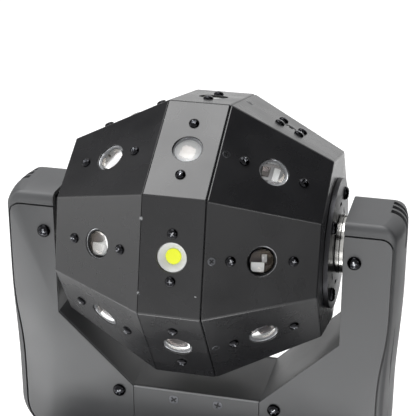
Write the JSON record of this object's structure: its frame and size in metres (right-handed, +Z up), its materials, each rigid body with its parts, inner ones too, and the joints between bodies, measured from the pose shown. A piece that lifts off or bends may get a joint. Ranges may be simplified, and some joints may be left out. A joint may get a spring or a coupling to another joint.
{
  "type": "moving head stage light",
  "caption": "Moving head stage light with an eight-sided head of lenses and lamps all round, turning without end between two yoke arms that pan on a low base.",
  "frame": {"origin": "middle of the base's footprint, on the surface it stands on", "axes": "+Z up; the tilt axis lies along X; the display side and the front of the yoke face -Y"},
  "size_m": [0.242, 0.1812, 0.3027],
  "materials": {
    "powder_coated_steel": "fine-texture black powder coat, satin",
    "moulded_abs": "spark-eroded satin black ABS",
    "black_oxide_steel": "black oxide on machined steel",
    "polished_steel": "turned and polished",
    "lens_glass": "pressed clear lens, polished",
    "cob_housing": "white moulded lamp seat with yellow phosphor",
    "machined_aluminium": "turned, as machined",
    "bearing_steel": "ground",
    "belt_rubber": "moulded toothed belt",
    "circuit_board": "green solder mask on glass-fibre board",
    "zinc_plated_steel": "zinc-plated folded sheet",
    "button_rubber": "grey moulded cap",
    "display_glass": "black display window"
  },
  "bodies": {
    "base": {"base_cover": "moulded_abs", "base_tray": "powder_coated_steel", "display_module": "display_glass", "connector_panel": "powder_coated_steel", "power_inlet": "moulded_abs", "power_supply": "zinc_plated_steel", "pan_spindle": "machined_aluminium"},
    "yoke": {"yoke_frame": "powder_coated_steel", "arm_cover_left": "moulded_abs", "arm_cover_right": "moulded_abs", "arm_plate_front_left": "powder_coated_steel", "arm_plate_front_right": "powder_coated_steel", "yoke_panel_front": "powder_coated_steel", "yoke_plate_rear": "powder_coated_steel", "tilt_bearing_left": "bearing_steel", "tilt_bearing_right": "bearing_steel", "tilt_motor": "black_oxide_steel", "tilt_belt": "belt_rubber", "pan_motor": "black_oxide_steel", "pan_belt": "belt_rubber", "pan_bearing": "bearing_steel", "slip_ring": "moulded_abs"},
    "head": {"head_shell_left": "powder_coated_steel", "head_shell_right": "powder_coated_steel", "lens_left_0": "lens_glass", "lens_left_1": "lens_glass", "lens_left_2": "lens_glass", "lens_left_3": "lens_glass", "lens_left_4": "lens_glass", "lens_left_5": "lens_glass", "lens_left_6": "lens_glass", "lens_left_7": "lens_glass", "lens_right_0": "lens_glass", "lens_right_1": "lens_glass", "lens_right_3": "lens_glass", "lens_right_4": "lens_glass", "lens_right_5": "lens_glass", "lens_right_6": "lens_glass", "lens_right_7": "lens_glass", "lens_middle_1": "lens_glass", "lens_middle_3": "lens_glass", "lens_middle_5": "lens_glass", "lens_middle_7": "lens_glass", "cob_led_0": "cob_housing", "cob_led_2": "cob_housing", "cob_led_4": "cob_housing", "cob_led_6": "cob_housing", "laser_module": "black_oxide_steel", "end_flange_left": "black_oxide_steel", "end_flange_right": "black_oxide_steel", "tilt_shaft_left": "polished_steel", "tilt_shaft_right": "polished_steel", "tilt_pulley": "machined_aluminium", "head_driver_board": "circuit_board"},
    "tilt_pinion": {"tilt_motor_pulley": "machined_aluminium"},
    "pan_pinion": {"pan_motor_pulley": "machined_aluminium"},
    "button_1": {"menu_button_1": "button_rubber"},
    "button_2": {"menu_button_2": "button_rubber"},
    "button_3": {"menu_button_3": "button_rubber"},
    "button_4": {"menu_button_4": "button_rubber"}
  },
  "joints": [
    {"name": "pan", "type": "hinge", "parent": "base", "child": "yoke", "pos_m": [0, 0, 0.075], "axis": [0, 0, 1], "range_deg": [-270, 270]},
    {"name": "tilt", "type": "hinge", "parent": "yoke", "child": "head", "pos_m": [0, 0, 0.216], "axis": [1, 0, 0], "continuous": true},
    {"name": "tilt_drive", "type": "hinge", "parent": "yoke", "child": "tilt_pinion", "pos_m": [0.1017, 0, 0.104], "axis": [1, 0, 0], "continuous": true},
    {"name": "pan_drive", "type": "hinge", "parent": "yoke", "child": "pan_pinion", "pos_m": [-0.075, 0, 0.0838], "axis": [0, 0, 1], "range_deg": [-1215, 1215]},
    {"name": "button_1_press", "type": "slide", "parent": "base", "child": "button_1", "axis": [0, 1, 0], "range_m": [0, 0.001], "stiffness_N_per_m": 250},
    {"name": "button_2_press", "type": "slide", "parent": "base", "child": "button_2", "axis": [0, 1, 0], "range_m": [0, 0.001], "stiffness_N_per_m": 250},
    {"name": "button_3_press", "type": "slide", "parent": "base", "child": "button_3", "axis": [0, 1, 0], "range_m": [0, 0.001], "stiffness_N_per_m": 250},
    {"name": "button_4_press", "type": "slide", "parent": "base", "child": "button_4", "axis": [0, 1, 0], "range_m": [0, 0.001], "stiffness_N_per_m": 250}
  ],
  "couplings": [
    {"joint": "tilt_drive", "follows": "tilt", "ratio": 3.75},
    {"joint": "pan_drive", "follows": "pan", "ratio": -4.5}
  ]
}
